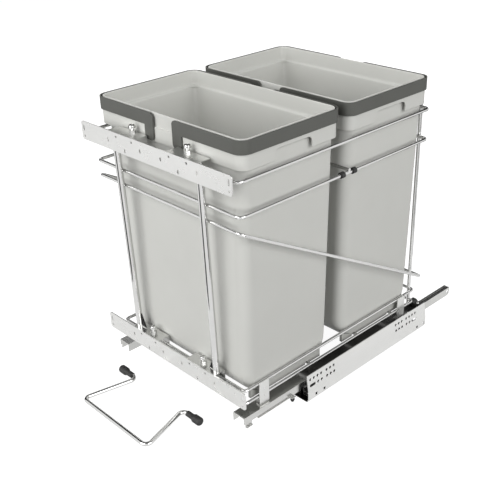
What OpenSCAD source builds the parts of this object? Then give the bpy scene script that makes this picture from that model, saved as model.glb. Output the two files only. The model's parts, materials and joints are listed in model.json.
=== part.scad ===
// Pull-out waste bin frame: two lift-out bins in a wire frame on telescoping base slides,
// with adjustable plates for a cabinet door and a loose wire bracket that lies in front.
// Millimetres, +Z up. Y = 0 is the front run of the upper wire rings until place() centres the part.

/* [Bins] */
// Width of a bin across its skirt
bin_w = 368; // [360:1:376]
// Depth of a bin across its skirt
bin_d = 223; // [218:1:230]
// Height of a bin
bin_h = 480; // [460:1:500]
// Width of a bin at its bottom
bin_bottom_w = 332; // [322:1:340]
// Depth of a bin at its bottom
bin_bottom_d = 207; // [196:1:209]
// Wall of a bin
bin_wall = 3; // [2:0.1:3.4]
// Corner radius of the skirt
bin_corner_r = 18; // [15:1:24]
// Corner radius of the body
body_r = 22; // [20:1:28]
// Radius of the rounded bottom edge at the long sides
bin_foot_r = 42; // [36:1:44]
// Radius of the rounded bottom edge at the short sides
bin_side_foot_r = 7; // [5:1:12]
// Height of the skirt that hangs round the shoulder
skirt_h = 26; // [22:1:30]
// Height of the rim above the skirt
rim_h = 24; // [22:1:28]
// Depth of the shoulder between the skirt and the body, at the short sides
shoulder_x = 8; // [7:0.5:10]
// Depth of the shoulder between the skirt and the body, at the long sides
shoulder_y = 6.5; // [6:0.5:8]
// Width of the grip cut in each short side of the skirt
grip_w = 85; // [70:1:100]
// Height of the grip cut
grip_h = 19; // [14:1:20]
// Space between the handles of the two bins
bin_gap = 17; // [12:0.2:20]

/* [Handles] */
// Height of the handle band
band_h = 22.5; // [20:0.5:24]
// Thickness of the handle band
band_t = 2.6; // [2.6:0.1:3.4]
// Width of the hook at each end of a handle
hook_w = 23; // [18:1:28]
// Length of the hook below the pivot
hook_drop = 25; // [20:1:28]
// Distance of a handle pivot from the middle of the bin
pivot_x = 36; // [32:1:44]
// Diameter of the moulded pivot pegs
peg_d = 6; // [5:0.5:8]

/* [Wire frame] */
// Diameter of the ring wire
wire_d = 6; // [4.5:0.5:6]
// Diameter of the front rods
rod_d = 12; // [9:0.5:12]
// Diameter of the rear posts
post_d = 7; // [6:0.5:8]
// Free space between the bin bodies and the upper rings at the sides
ring_side_clear = 8; // [4:0.5:12]
// Free space between the bin bodies and the upper rings at the front
ring_front_clear = 15.5; // [15:0.5:20]
// Free space between the bin bodies and the upper rings at the rear
ring_rear_clear = 4; // [3:0.5:10]
// Bend radius of the upper rings
ring_bend_r = 9; // [6:1:16]
// Free height between the top ring and the skirts of the bins
top_ring_clear = 8.2; // [7.2:0.1:16]
// Height of the top ring above the middle ring
mid_ring_drop = 58; // [44:1:66]
// Height of the middle ring above the front of the brace loop
brace_drop = 28; // [20:1:45]
// Height of the brace loop at the rear
brace_rear_z = 126; // [110:1:150]
// Height of the bottom guard ring
guard_z = 88; // [84:1:88]
// Height of the bottom carrier ring
carrier_z = 61; // [56:1:66]
// Free space between the foot of a bin and the bottom rings at the sides
base_side_clear = 2.5; // [2:0.5:8]
// Front run of the bottom rings, from the front run of the upper rings
base_front_y = 11; // [9:0.5:14]
// Distance of the front rods from the middle
rod_x = 110; // [100:1:116]

/* [Divider] */
// Divider bar from the middle of the space between the bins
divider_shift = 6.4; // [0:0.1:7]
// Length of a divider grommet
grommet_len = 8; // [6:0.5:10]
// Diameter of a divider grommet
grommet_d = 11; // [9:0.5:13]
// Distance of a grommet from the divider bar
grommet_offset = 15; // [10:0.5:18]

/* [Door plates] */
// Width of a door plate
plate_w = 390; // [370:1:400]
// Height of a door plate
plate_h = 34; // [32:1:38]
// Thickness of a door plate
plate_t = 2; // [1.5:0.1:3]
// Height of the middle of the upper plate above the top ring
upper_plate_rise = 3; // [0:0.5:9]
// Middle height of the lower plate
lower_plate_z = 88; // [86:1:94]
// Front face of the upper plate
upper_plate_y = -20; // [-24:0.5:-20]
// Front face of the lower plate
lower_plate_y = -10; // [-14:0.5:-9.5]
// Length of a plate holder inwards of its rod
holder_len = 70; // [60:1:78]
// Sheet thickness of the plate holders
holder_t = 2; // [1.5:0.1:2.5]
// Distance of the adjuster screws from the middle
adjuster_x = 72; // [60:1:80]
// Diameter of the adjuster screws
adjuster_d = 6; // [5:0.5:7]
// Height of the adjuster heads above the holders
adjuster_h = 17.5; // [14:0.5:19]

/* [Slides] */
// Length of the runners and of the fixed rails
rail_len = 525; // [500:1:550]
// Distance that the frame is pulled out in the shown position
shown_pull = 107; // [80:1:130]
// Front end of the runners
runner_y = -2; // [-6:1:4]
// Width of the fixed rail
fixed_w = 13; // [12:0.5:15]
// Sheet thickness of the fixed rail
fixed_t = 1.5; // [1:0.1:1.8]
// Top of the fixed rail
fixed_top_z = 38; // [36:0.5:40]
// Height of the fixed rail
fixed_h = 18; // [16:0.5:20]
// Length of the intermediate rail
mid_len = 440; // [420:1:450]
// Height of the legs of the intermediate rail
mid_h = 13; // [12:0.5:14]
// Sheet thickness of the intermediate rail and the runner
runner_t = 1.2; // [1:0.1:1.5]
// Height of the inner leg of the runner
runner_in_h = 17; // [15:0.5:18]
// Height of the outer leg of the runner
runner_out_h = 16; // [15:0.5:17]
// Width of the lip on the outer leg of the runner
lip_w = 2; // [1.5:0.1:3]
// Diameter of the slide balls
ball_d = 2.4; // [2:0.1:2.8]
// Running clearance of the balls on each race
race_clear = 0.1; // [0.08:0.01:0.15]
// Free height between stacked rails
stack_gap = 0.8; // [0.6:0.1:1.2]

/* [Cabinet brackets] */
// Length of the cabinet bracket
bracket_len = 364; // [340:1:380]
// Front end of the bracket, behind the front end of the fixed rail
bracket_setback = 43; // [30:1:50]
// Height of the bracket wall
bracket_h = 57; // [54:1:60]
// Sheet thickness of the bracket
bracket_t = 1.5; // [1.2:0.1:2]
// Outer face of the lower bracket wall, from the middle of the rail
bracket_out = 28; // [27:0.5:30]
// Lean of the upper bracket wall towards the rail, at its top
wall_lean = 5; // [3:0.5:6]
// Inner edge of the bracket base, from the middle of the rail
bracket_in = 22; // [18:0.5:26]
// Height of the crease above the base
crease_z = 24.5; // [22:0.5:27]
// Diameter of the wall screw holes
wall_hole_d = 5.5; // [5:0.1:6]
// Diameter of the hook hole at the rear end of the fixed rail
hook_hole_d = 8; // [6:0.5:9]

/* [Uprights] */
// Width of the upright straps
strap_w = 23; // [18:1:26]
// Thickness of the upright straps
strap_t = 2; // [1.5:0.1:2.5]
// Middle of the front uprights
front_strap_y = 53.5; // [46:0.5:80]
// Middle of the rear uprights
rear_strap_y = 447.5; // [420:0.5:455]

/* [Loose wire bracket] */
// Diameter of the loose bracket wire
loose_d = 8; // [6:0.5:9]
// Width of the loose bracket at its long run
loose_base_w = 195; // [180:1:210]
// Lean of the legs of the loose bracket, in degrees
loose_lean = 15; // [12:1:18]
// Depth of the loose bracket
loose_depth = 105; // [95:1:120]
// Length of the ears of the loose bracket
loose_ear = 49; // [48:1:60]
// Middle of the loose bracket, left of the middle of the frame
loose_x = -19; // [-30:1:30]
// Mouth of the loose bracket, in front of the upper rings
loose_mouth_y = -34; // [-60:1:-30]
// Length of the rubber sleeves
sleeve_len = 37; // [33:1:37]
// Largest diameter of the rubber sleeves
sleeve_d = 16; // [14:0.5:17]

/* [Hidden] */
$fn = 64;
hull_fn = 32;
// Clearances and joining gaps
weld_gap = 0.05;
rest_gap = 0.2;
swing_gap = 0.3;
// Length that a cut runs past a face
past = 1;
peg_clear = 0.05;
pin_clear = 0.05;
slip_clear = 0.05;
slice_t = 0.01;
// A bend is a little thinner than the straight wire, which laps over its ends
bend_thin = 0.02;
bend_lap = 0.3;
// Wire radii
wire_r = wire_d / 2;
rod_r = rod_d / 2;
// Upper rings
body_w = bin_w - 2 * shoulder_x;
body_d = bin_d - 2 * shoulder_y;
ring_x = body_w / 2 + ring_side_clear + wire_r;
front_bin_y = wire_r + ring_front_clear + body_d / 2;
rear_bin_y = front_bin_y + bin_d + 2 * (swing_gap + band_t) + bin_gap;
ring_d = rear_bin_y + body_d / 2 + ring_rear_clear + wire_r;
rod_y = -(wire_r + rod_r + weld_gap);
// Rear posts stand behind the upper rings, in the bent corners of the bottom rings
corner_r = wire_r + post_d / 2 + weld_gap;
post_y = ring_d + corner_r;
base_rear_y = post_y + corner_r;
base_x = bin_bottom_w / 2 + base_side_clear + wire_r;
post_x = base_x - corner_r;
// Bins
bin_z = carrier_z + wire_r + rest_gap;
rim_z = bin_z + bin_h;
skirt_top_z = rim_z - rim_h;
skirt_z = skirt_top_z - skirt_h;
shoulder_drop = 4;
shoulder_z = skirt_top_z - shoulder_drop;
shoulder_t = 3.5;
skirt_t = 2.5;
rebate = 2.5;
rim_w = bin_w - 2 * rebate;
rim_d = bin_d - 2 * rebate;
rim_r = bin_corner_r - rebate;
grip_r = 9;
grip_past = 3;
foot_steps = 6;
// Heights of the upper rings and of the plates
top_ring_z = skirt_z - top_ring_clear - wire_r;
mid_ring_z = top_ring_z - mid_ring_drop;
brace_front_z = mid_ring_z - brace_drop;
upper_plate_z = top_ring_z + upper_plate_rise;
lower_top_z = lower_plate_z + plate_h / 2;
upper_top_z = upper_plate_z + plate_h / 2;
// Handles
pivot_rise = 1;
pivot_z = skirt_top_z + pivot_rise;
band_in_w = bin_w + 2 * swing_gap;
band_in_d = bin_d + 2 * swing_gap;
band_in_r = bin_corner_r + swing_gap;
hook_r = 8;
peg_len = 1.8;
peg_room = 0.2;
// Slides
mid_in = fixed_w / 2 + ball_d + 2 * race_clear;
mid_out = mid_in + runner_t;
runner_in = mid_out + ball_d + 2 * race_clear;
runner_out = runner_in + runner_t;
mid_top_z = fixed_top_z + stack_gap + runner_t;
runner_top_z = mid_top_z + stack_gap + runner_t;
fixed_y = runner_y + shown_pull;
mid_setback = 8.5;
mid_y = runner_y + shown_pull / 2 + mid_setback;
strap_offset = 4;
slide_x = base_x - strap_offset;
cage_t = 0.9;
cage_h = 6;
ball_pitch = 30;
ball_room = 0.05;
outer_balls = 7;
inner_balls = 6;
outer_race_drop = 7.5;
inner_race_drop = 5;
outer_race_z = runner_top_z - outer_race_drop;
inner_race_z = fixed_top_z - inner_race_drop;
inner_race_x = (fixed_w / 2 + mid_in) / 2;
outer_race_x = (mid_out + runner_in) / 2;
cage_end = 10;
outer_cage_len = 2 * cage_end + (outer_balls - 1) * ball_pitch;
inner_cage_len = 2 * cage_end + (inner_balls - 1) * ball_pitch;
// Each cage stands midway between the rail ends that it meets at full pull
outer_cage_y = (mid_y + runner_y + rail_len - outer_cage_len) / 2;
inner_cage_y = (fixed_y + mid_y + mid_len - inner_cage_len) / 2;
lip_y = 32;
lip_len = 91;
front_step = 3;
tongue_y = 3;
tongue_len = 15;
tongue_drop = 8;
tongue_w = 3;
tab_len = 10;
tab_w = 7;
bumper_d = 8;
bumper_h = 9;
bumper_tip_d = 5;
bumper_tip_h = 3.5;
hook_hole_inset = 6.5;
hook_hole_drop = 8;
rail_end_r = 7;
// Cabinet brackets
bracket_y = fixed_y + bracket_setback;
fold_r = 7;
wall_rows = [10, 22.4];
hole_pitch = 10;
long_group = 4;
short_group = 3;
group_step = 45;
front_inset = 8;
rear_inset = 34.5;
notch_w = 5;
notch_h = 5.5;
notch_z = 8.5;
front_notches = [21.5, 44];
rear_notches = [6, 28.5];
slot_len = 16;
saddle_len = 36;
saddle_inset = 30;
saddle_foot = 8;
saddle_gap = 0.1;
rivet_d = 4;
rivet_head_d = 7;
rivet_head_h = 1.8;
rivet_clear = 0.05;
rivet_spread = 10;
// Door plates
hole_row = 10;
round_hole_d = 4;
round_hole_xs = [49, 92];
screw_room = 2;
slot_w = 3.6;
slot_h = 7;
end_slot_h = 10.5;
mid_slot_xs = [27, 116];
low_slot_xs = [70];
end_inset = 7;
plate_corner = 5;
holder_flange_h = 26;
holder_lip_h = 13.5;
holder_hook_h = 20;
holder_over = 0.5;
gusset_h = 28;
gusset_w = 13;
gusset_shift = 1.6;
upper_holder_rear = 7;
upper_adjuster_y = 1;
lower_adjuster_y = 4.5;
adjuster_tail = 6;
nut_af = 10;
nut_h = 4;
head_d = 11;
head_top_d = 6;
head_h = 4.5;
head_slot = 1.6;
// Clips and straps
clip_len = 15;
clip_h = 4.5;
clip_rise = 4;
clip_inset = 1;
clip_y = runner_y + rail_len - clip_len - clip_inset;
clip_screw_x = 4;
clip_screw_d = 3.5;
clip_head_d = 7;
clip_head_top_d = 5;
clip_head_h = 2.4;
clip_slot_len = 4;
clip_slot_w = 1;
clip_slot_depth = 1.2;
strap_over = 0.5;
strap_foot = 7.2;
strap_rivet_in = 4.7;
strap_bend = 4;
strap_x = base_x + wire_r + weld_gap;
strap_rivet_d = 3.4;
strap_rivet_head_d = 4.4;
strap_rivet_head_h = 1.5;
weld_dot_d = 3;
weld_dot_h = 0.5;
// Divider and cross wires
divider_y = (front_bin_y + rear_bin_y) / 2 + divider_shift;
divider_over = 4;
cross_inset = 55;
// Loose bracket
loose_bend_r = 10;
loose_mouth_w = loose_base_w - 2 * loose_depth * tan(loose_lean);
sleeve_bore_r = loose_d / 2 + slip_clear;
sleeve_neck_d = loose_d + 3;
sleeve_bulb = 17;
sleeve_taper = 6;
sleeve_end_r = 4;
sleeve_cap = 2;
loose_tilt = asin((sleeve_d - loose_d) / 2 / loose_depth);
// The part is centred over its whole depth
y_front = loose_mouth_y - loose_depth * cos(loose_tilt) - loose_d / 2;
y_rear = fixed_y + rail_len;
y_mid = (y_front + y_rear) / 2;

// Helpers

// Moves a piece from the working frame to the frame of the part
module place() {
    translate([0, -y_mid, 0]) children();
}

// Draws a piece as it is on the right side, or mirrored on the left
module on_side(side) {
    if (side < 0) mirror([1, 0, 0]) children();
    else children();
}

// The same, with X counted outwards from the middle of the slide
module on_slide(side) {
    on_side(side) translate([slide_x, 0, 0]) children();
}

// Extrudes a section drawn in X and Z along Y
module along_y(y, len) {
    translate([0, y + len, 0]) rotate([90, 0, 0]) linear_extrude(len) children();
}

// Extrudes an outline drawn in Y and Z along X
module along_x(x, len) {
    translate([x, 0, 0]) rotate([90, 0, 90]) linear_extrude(len) children();
}

// A round rod along X or Z
module rod_x_axis(x0, x1, y, z, d) {
    translate([x0, y, z]) rotate([0, 90, 0]) cylinder(d = d, h = x1 - x0);
}

module rod_z_axis(x, y, z0, z1, d) {
    translate([x, y, z0]) cylinder(d = d, h = z1 - z0);
}

// A rectangle with round corners about the origin
module round_rect(w, d, r) {
    square([w - 2 * r, d], center = true);
    square([w, d - 2 * r], center = true);
    for (x = [-1, 1], y = [-1, 1]) translate([x * (w / 2 - r), y * (d / 2 - r)]) circle(r);
}

// A straight slot about the origin, standing up
module slot_2d(w, h) {
    square([w, h - w], center = true);
    for (s = [-1, 1]) translate([0, s * (h - w) / 2]) circle(d = w);
}

// What lies between a corner at the origin and its rounding, with some width past the corner
module corner_2d(r, over) {
    difference() {
        translate([-r, -over]) square([r + over, r + over]);
        translate([-r, r]) circle(r);
    }
}

// Bearing of the run from one point to the next
function bearing(a, b) = atan2(b[1] - a[1], b[0] - a[0]);
// Signed turn between two bearings
function turn(a, b) = (b - a + 540) % 360 - 180;
// Length that a bend takes off each run
function bend_trim(angle, r) = r * tan(abs(angle) / 2);

// A wire bent along flat points, with round bends
module wire_path(pts, r, d, closed) {
    n = len(pts);
    runs = closed ? n : n - 1;
    for (i = [0 : runs - 1]) {
        a = pts[i];
        b = pts[(i + 1) % n];
        here = bearing(a, b);
        before = bearing(pts[(i + n - 1) % n], a);
        after = bearing(b, pts[(i + 2) % n]);
        bent = closed || i < runs - 1;
        end_turn = turn(here, after);
        start_trim = closed || i > 0 ? bend_trim(turn(before, here), r) - bend_lap : 0;
        end_trim = bent ? bend_trim(end_turn, r) : 0;
        along = [cos(here), sin(here)];
        first = a + along * start_trim;
        last = b - along * end_trim;
        translate([first[0], first[1], 0]) rotate([0, 0, here]) rotate([0, 90, 0])
            cylinder(d = d, h = norm(last - first) + (bent ? bend_lap : 0));
        if (bent) {
            side = sign(end_turn);
            centre = last + side * r * [-sin(here), cos(here)];
            translate([centre[0], centre[1], 0])
                rotate([0, 0, side > 0 ? here - 90 : here + 90 - abs(end_turn)])
                    rotate_extrude(angle = abs(end_turn)) translate([r, 0]) circle(r = d / 2 - bend_thin);
        }
    }
}

// A closed rectangular wire loop, from its front run to its rear run
module wire_loop(half_w, front, rear, r) {
    wire_path([[-half_w, front], [half_w, front], [half_w, rear], [-half_w, rear]], r, wire_d, true);
}

// Slides and cabinet brackets, drawn as the right-hand ones

// Two groups of screw holes at each end of the bracket wall, in two rows
module wall_holes() {
    for (far = [0, 1], row = [0, 1]) {
        z = bracket_h - wall_rows[row];
        dir = far ? -1 : 1;
        y0 = far ? bracket_y + bracket_len - rear_inset : bracket_y + front_inset;
        // In the lower row a slot takes the first two places
        first = 2 * row;
        for (i = [first : long_group - 1])
            rod_x_axis(0, 2 * bracket_out, y0 + dir * i * hole_pitch, z, wall_hole_d);
        for (i = [0 : short_group - 1])
            rod_x_axis(0, 2 * bracket_out, y0 + dir * (group_step + i * hole_pitch), z, wall_hole_d);
        if (row == 1) along_x(0, 2 * bracket_out) translate([y0 + dir * hole_pitch / 2, z])
            rotate(90) slot_2d(wall_hole_d, slot_len);
    }
}

module saddle_places() {
    first = bracket_y + saddle_inset;
    last = bracket_y + bracket_len - saddle_inset;
    for (y = [first, (first + last) / 2, last]) translate([0, y, 0]) children();
}

module rivet_places() {
    saddle_places()
        for (x = [-1, 1], y = [-1, 1])
            translate([x * (fixed_w / 2 - fixed_t + saddle_foot / 2), y * rivet_spread, 0]) children();
}

// The bracket sheet: base, round fold, and a wall that stands up and then leans
module bracket_sheet() {
    top_out = bracket_out - wall_lean;
    fold_x = bracket_out - fold_r;
    wall_z = fold_r - bend_lap;
    along_y(bracket_y, bracket_len) translate([-bracket_in, 0])
        square([bracket_in + fold_x + bend_lap, bracket_t]);
    along_y(bracket_y, bracket_len) translate([fold_x, fold_r]) intersection() {
        difference() {
            circle(fold_r);
            circle(fold_r - bracket_t);
        }
        translate([0, -fold_r]) square(fold_r);
    }
    along_y(bracket_y, bracket_len) polygon([
        [top_out, bracket_h], [bracket_out, crease_z], [bracket_out, wall_z],
        [bracket_out - bracket_t, wall_z], [bracket_out - bracket_t, crease_z],
        [top_out - bracket_t, bracket_h]
    ]);
}

module cabinet_bracket() {
    rear_y = bracket_y + bracket_len;
    notches = concat([for (n = front_notches) bracket_y + n], [for (n = rear_notches) rear_y - n]);
    color("gainsboro") difference() {
        bracket_sheet();
        wall_holes();
        for (y = notches) translate([bracket_out - 2 * bracket_t, y - notch_w / 2, notch_z])
            cube([bracket_out, notch_w, notch_h]);
        rivet_places() translate([0, 0, -past])
            cylinder(d = rivet_d + 2 * rivet_clear, h = bracket_t + 2 * past);
    }
}

module fixed_rail() {
    hook_y = fixed_y + rail_len - hook_hole_inset;
    groove_w = 5;
    groove_h = 0.4;
    color("silver") difference() {
        along_y(fixed_y, rail_len) difference() {
            translate([-fixed_w / 2, fixed_top_z - fixed_h]) square([fixed_w, fixed_h]);
            translate([-fixed_w / 2 + fixed_t, fixed_top_z - fixed_h - past])
                square([fixed_w - 2 * fixed_t, fixed_h + past - fixed_t]);
            translate([-groove_w / 2, fixed_top_z - groove_h]) square([groove_w, groove_h + past]);
        }
        rod_x_axis(-fixed_w, fixed_w, hook_y, fixed_top_z - hook_hole_drop, hook_hole_d);
        // Round lower corner at the rear end
        along_x(-fixed_w, 2 * fixed_w) translate([fixed_y + rail_len, fixed_top_z - fixed_h])
            corner_2d(rail_end_r, past);
    }
}

module rail_saddles() {
    half = fixed_w / 2 - fixed_t - saddle_gap;
    top = fixed_top_z - fixed_t;
    color("silver") difference() {
        saddle_places() along_y(-saddle_len / 2, saddle_len) {
            translate([-half, top - fixed_t]) square([2 * half, fixed_t]);
            for (s = [-1, 1]) {
                translate([s * (half - fixed_t / 2) - fixed_t / 2, bracket_t])
                    square([fixed_t, top - bracket_t]);
                translate([s * (half + saddle_foot / 2) - saddle_foot / 2, bracket_t])
                    square([saddle_foot, fixed_t]);
            }
        }
        rivet_places() cylinder(d = rivet_d + 2 * rivet_clear, h = 3 * bracket_t + fixed_t);
    }
}

module saddle_rivets() {
    seat = bracket_t + fixed_t;
    color("whitesmoke") rivet_places() {
        translate([0, 0, rest_gap]) cylinder(d = rivet_d, h = seat - rest_gap);
        translate([0, 0, seat]) cylinder(d1 = rivet_head_d, d2 = rivet_d, h = rivet_head_h);
    }
}

module channel_2d(out, in, top, roof, legs_in, legs_out) {
    translate([-out, top - roof]) square([2 * out, roof]);
    translate([-out, top - legs_in]) square([out - in, legs_in]);
    translate([in, top - legs_out]) square([out - in, legs_out]);
}

module intermediate_rail() {
    color("lightgray") along_y(mid_y, mid_len)
        channel_2d(mid_out, mid_in, mid_top_z, runner_t, mid_h, mid_h);
}

// Two strips of a ball cage, one on each leg, and their balls
module ball_places(x, y, z, count) {
    for (s = [-1, 1], i = [0 : count - 1])
        translate([s * x, y + cage_end + i * ball_pitch, z]) children();
}

module ball_cage(x, y, z, count, len) {
    color("ivory") difference() {
        for (s = [-1, 1]) translate([s * x - cage_t / 2, y, z - cage_h / 2]) cube([cage_t, len, cage_h]);
        ball_places(x, y, z, count) rotate([0, 90, 0])
            cylinder(d = ball_d + 2 * ball_room, h = 3 * cage_t, center = true);
    }
}

module balls(x, y, z, count) {
    color("whitesmoke") ball_places(x, y, z, count) sphere(d = ball_d);
}

module drawer_runner() {
    lip_z = runner_top_z - runner_out_h;
    tongue_z = lip_z + front_step - tongue_drop;
    color("silver") difference() {
        union() {
            difference() {
                along_y(runner_y, rail_len)
                    channel_2d(runner_out, runner_in, runner_top_z, runner_t, runner_in_h, runner_out_h);
                // The outer leg is lower in front of the lip
                along_y(runner_y - past, lip_y + past) translate([runner_in - past, lip_z - past])
                    square([runner_t + 2 * past, front_step + past]);
            }
            along_y(runner_y + lip_y, lip_len)
                translate([runner_in, lip_z]) square([runner_t + lip_w, runner_t]);
            // Tab at the end of the lip, for the bumper
            along_y(runner_y + lip_y + lip_len - tab_len, tab_len)
                translate([runner_in, lip_z]) square([runner_t + tab_w, runner_t]);
            along_y(runner_y + tongue_y, tongue_len) translate([runner_in, tongue_z]) {
                square([runner_t, tongue_drop + runner_t]);
                square([runner_t + tongue_w, runner_t]);
            }
        }
        for (y = [front_strap_y, rear_strap_y])
            rod_z_axis(strap_x - strap_rivet_in - slide_x, y, runner_top_z - 2 * runner_t,
                runner_top_z + past, strap_rivet_d + 2 * rivet_clear);
        rod_z_axis(clip_screw_x, clip_y + clip_len / 2, runner_top_z - 2 * runner_t,
            runner_top_z + past, clip_screw_d + 2 * rivet_clear);
    }
}

module runner_bumper() {
    x = runner_out + tab_w - bumper_d / 2;
    y = runner_y + lip_y + lip_len - tab_len / 2;
    z = runner_top_z - runner_out_h;
    color("#303030") translate([x, y, z]) mirror([0, 0, 1]) {
        cylinder(d = bumper_d, h = bumper_h - bumper_tip_h);
        translate([0, 0, bumper_h - bumper_tip_h])
            cylinder(d1 = bumper_d, d2 = bumper_tip_d, h = bumper_tip_h);
    }
}

module rear_clip() {
    half = runner_out - clip_inset;
    color("#262626") difference() {
        along_y(clip_y, clip_len) translate([0, runner_top_z]) polygon([
            [-half, 0], [half, 0], [half, clip_h], [0, clip_h], [-half / 3, clip_h + clip_rise],
            [-half, clip_h + clip_rise]
        ]);
        rod_z_axis(clip_screw_x, clip_y + clip_len / 2, runner_top_z - past,
            runner_top_z + clip_h + past, clip_screw_d + 2 * rivet_clear);
        // Relief under the raised nose
        translate([-half + 2 * clip_inset, clip_y - past, runner_top_z + clip_h - clip_inset])
            cube([half / 2, clip_len / 2, clip_rise - clip_inset]);
    }
}

module clip_screws() {
    top = runner_top_z + clip_h;
    slot_z = top + clip_head_h - clip_slot_depth;
    color("whitesmoke") for (s = [-1, 1]) on_slide(s)
        translate([clip_screw_x, clip_y + clip_len / 2, 0]) {
            rod_z_axis(0, 0, runner_top_z - runner_t, top, clip_screw_d);
            difference() {
                translate([0, 0, top]) cylinder(d1 = clip_head_d, d2 = clip_head_top_d, h = clip_head_h);
                for (a = [0, 90]) rotate(a) translate([-clip_slot_len / 2, -clip_slot_w / 2, slot_z])
                    cube([clip_slot_len, clip_slot_w, clip_slot_depth + past]);
            }
        }
}

// Uprights between the runners and the bottom rings

// Section of a strap, with a foot that is bent inwards over the runner
module strap_2d() {
    top = guard_z + wire_r + strap_over;
    difference() {
        union() {
            translate([strap_x, runner_top_z]) square([strap_t, top - runner_top_z]);
            translate([strap_x - strap_foot, runner_top_z]) square([strap_foot + strap_t, strap_t]);
        }
        translate([strap_x + strap_t, runner_top_z]) corner_2d(strap_bend, past);
    }
    translate([strap_x, runner_top_z + strap_t]) corner_2d(strap_bend - strap_t, bend_lap);
}

module upright(y) {
    color("gainsboro") difference() {
        union() {
            along_y(y - strap_w / 2, strap_w) strap_2d();
            for (z = [guard_z, carrier_z])
                rod_x_axis(strap_x, strap_x + strap_t + weld_dot_h, y, z, weld_dot_d);
        }
        rod_z_axis(strap_x - strap_rivet_in, y, runner_top_z - past,
            runner_top_z + 2 * strap_t, strap_rivet_d + 2 * rivet_clear);
    }
}

module upright_rivets() {
    seat = runner_top_z + strap_t;
    color("whitesmoke") for (s = [-1, 1], y = [front_strap_y, rear_strap_y]) on_side(s)
        translate([strap_x - strap_rivet_in, y, 0]) {
            rod_z_axis(0, 0, runner_top_z - runner_t, seat, strap_rivet_d);
            translate([0, 0, seat])
                cylinder(d1 = strap_rivet_head_d, d2 = strap_rivet_d, h = strap_rivet_head_h);
        }
}

// Wire frame

// Front run of a wire at a height: the front leans from the top ring to the bottom rings
function front_at(z) = base_front_y * (top_ring_z - z) / (top_ring_z - guard_z);

module bottom_ring(z) {
    color("silver") translate([0, 0, z]) wire_loop(base_x, base_front_y, base_rear_y, corner_r);
}

module cross_wires() {
    end = base_x - wire_r - weld_gap;
    color("silver") for (bin_y = [front_bin_y, rear_bin_y], s = [-1, 1])
        rod_x_axis(-end, end, bin_y + s * cross_inset, carrier_z, wire_d);
}

module rear_post() {
    color("silver") rod_z_axis(post_x, post_y, carrier_z - wire_r, top_ring_z + wire_r, post_d);
}

module upper_ring(z) {
    color("silver") translate([0, 0, z]) wire_loop(ring_x, front_at(z), ring_d, ring_bend_r);
}

module brace_loop() {
    front_y = front_at(brace_front_z);
    depth = base_rear_y - front_y;
    drop = brace_front_z - brace_rear_z;
    color("silver") translate([0, front_y, brace_front_z]) rotate([-atan2(drop, depth), 0, 0])
        wire_loop(ring_x, 0, norm([depth, drop]), ring_bend_r);
}

// A leaning rod, cut level between the lower and the upper holder
module front_rod() {
    low = lower_top_z + weld_gap;
    high = upper_top_z - holder_t - weld_gap;
    lean = atan2(front_at(low) - front_at(high), high - low);
    color("silver") intersection() {
        translate([rod_x, front_at(low) + rod_y, low]) rotate([lean, 0, 0])
            translate([0, 0, -rod_d]) cylinder(d = rod_d, h = high - low + 2 * rod_d);
        translate([rod_x - rod_d, -ring_d, low]) cube([2 * rod_d, 2 * ring_d, high - low]);
    }
}

// Divider between the bins

module divider_bar() {
    color("silver") rod_x_axis(-ring_x - divider_over, ring_x + divider_over, divider_y,
        mid_ring_z + wire_d + weld_gap, wire_d);
}

module divider_grommets() {
    color("#2a2a2a") for (x = [-1, 1], y = [-1, 1])
        translate([x * ring_x, divider_y + y * grommet_offset, mid_ring_z])
            rotate([90, 0, 0]) difference() {
                cylinder(d = grommet_d, h = grommet_len, center = true);
                cylinder(r = wire_r + slip_clear, h = grommet_len + past, center = true);
            }
}

// Door plates and their adjustable holders

module door_plate(y, z) {
    color("whitesmoke") translate([0, 0, z]) along_y(y, plate_t) difference() {
        round_rect(plate_w, plate_h, plate_corner);
        for (s = [-1, 1]) {
            for (x = round_hole_xs) translate([s * x, hole_row]) circle(d = round_hole_d);
            for (x = mid_slot_xs) translate([s * x, 0]) slot_2d(slot_w, slot_h);
            for (x = low_slot_xs) translate([s * x, -hole_row]) slot_2d(slot_w, slot_h);
            translate([s * (plate_w / 2 - end_inset), hole_row / 2]) slot_2d(slot_w, end_slot_h);
            translate([s * (plate_w / 2 - end_inset), -hole_row]) circle(d = round_hole_d);
        }
    }
}

module gusset(z, grow) {
    edge = rod_x - rod_r - weld_gap;
    y = front_at(z + grow * gusset_h / 2) + rod_y + gusset_shift;
    along_y(y - holder_t / 2, holder_t)
        polygon([[edge, z], [edge, z + grow * gusset_h], [edge - gusset_w, z]]);
}

// A folded sheet holder: front flange on the plate, top flange, end lip and gusset on the rod
module holder_sheet(front, rear, top, grow, adjuster_y) {
    inner = rod_x - holder_len;
    outer = rod_x + rod_r + holder_over;
    difference() {
        union() {
            translate([inner, front, top - holder_t]) cube([outer - inner, rear - front, holder_t]);
            translate([inner, front, top - holder_flange_h])
                cube([outer - inner, holder_t, holder_flange_h]);
            translate([inner, front, top - holder_lip_h]) cube([holder_t, rear - front, holder_lip_h]);
            gusset(grow > 0 ? top : top - holder_t, grow);
        }
        rod_z_axis(adjuster_x, adjuster_y, top - 2 * holder_t, top + holder_t,
            adjuster_d + 4 * pin_clear);
        // Wider holes behind those of the plate, so that the door screws pass
        translate([0, 0, top - plate_h / 2]) along_y(front - holder_t, 3 * holder_t) {
            for (x = round_hole_xs) translate([x, hole_row]) circle(d = round_hole_d + 2 * screw_room);
            for (x = low_slot_xs) translate([x, -hole_row])
                slot_2d(slot_w + 2 * screw_room, slot_h + 2 * screw_room);
        }
    }
}

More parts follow.
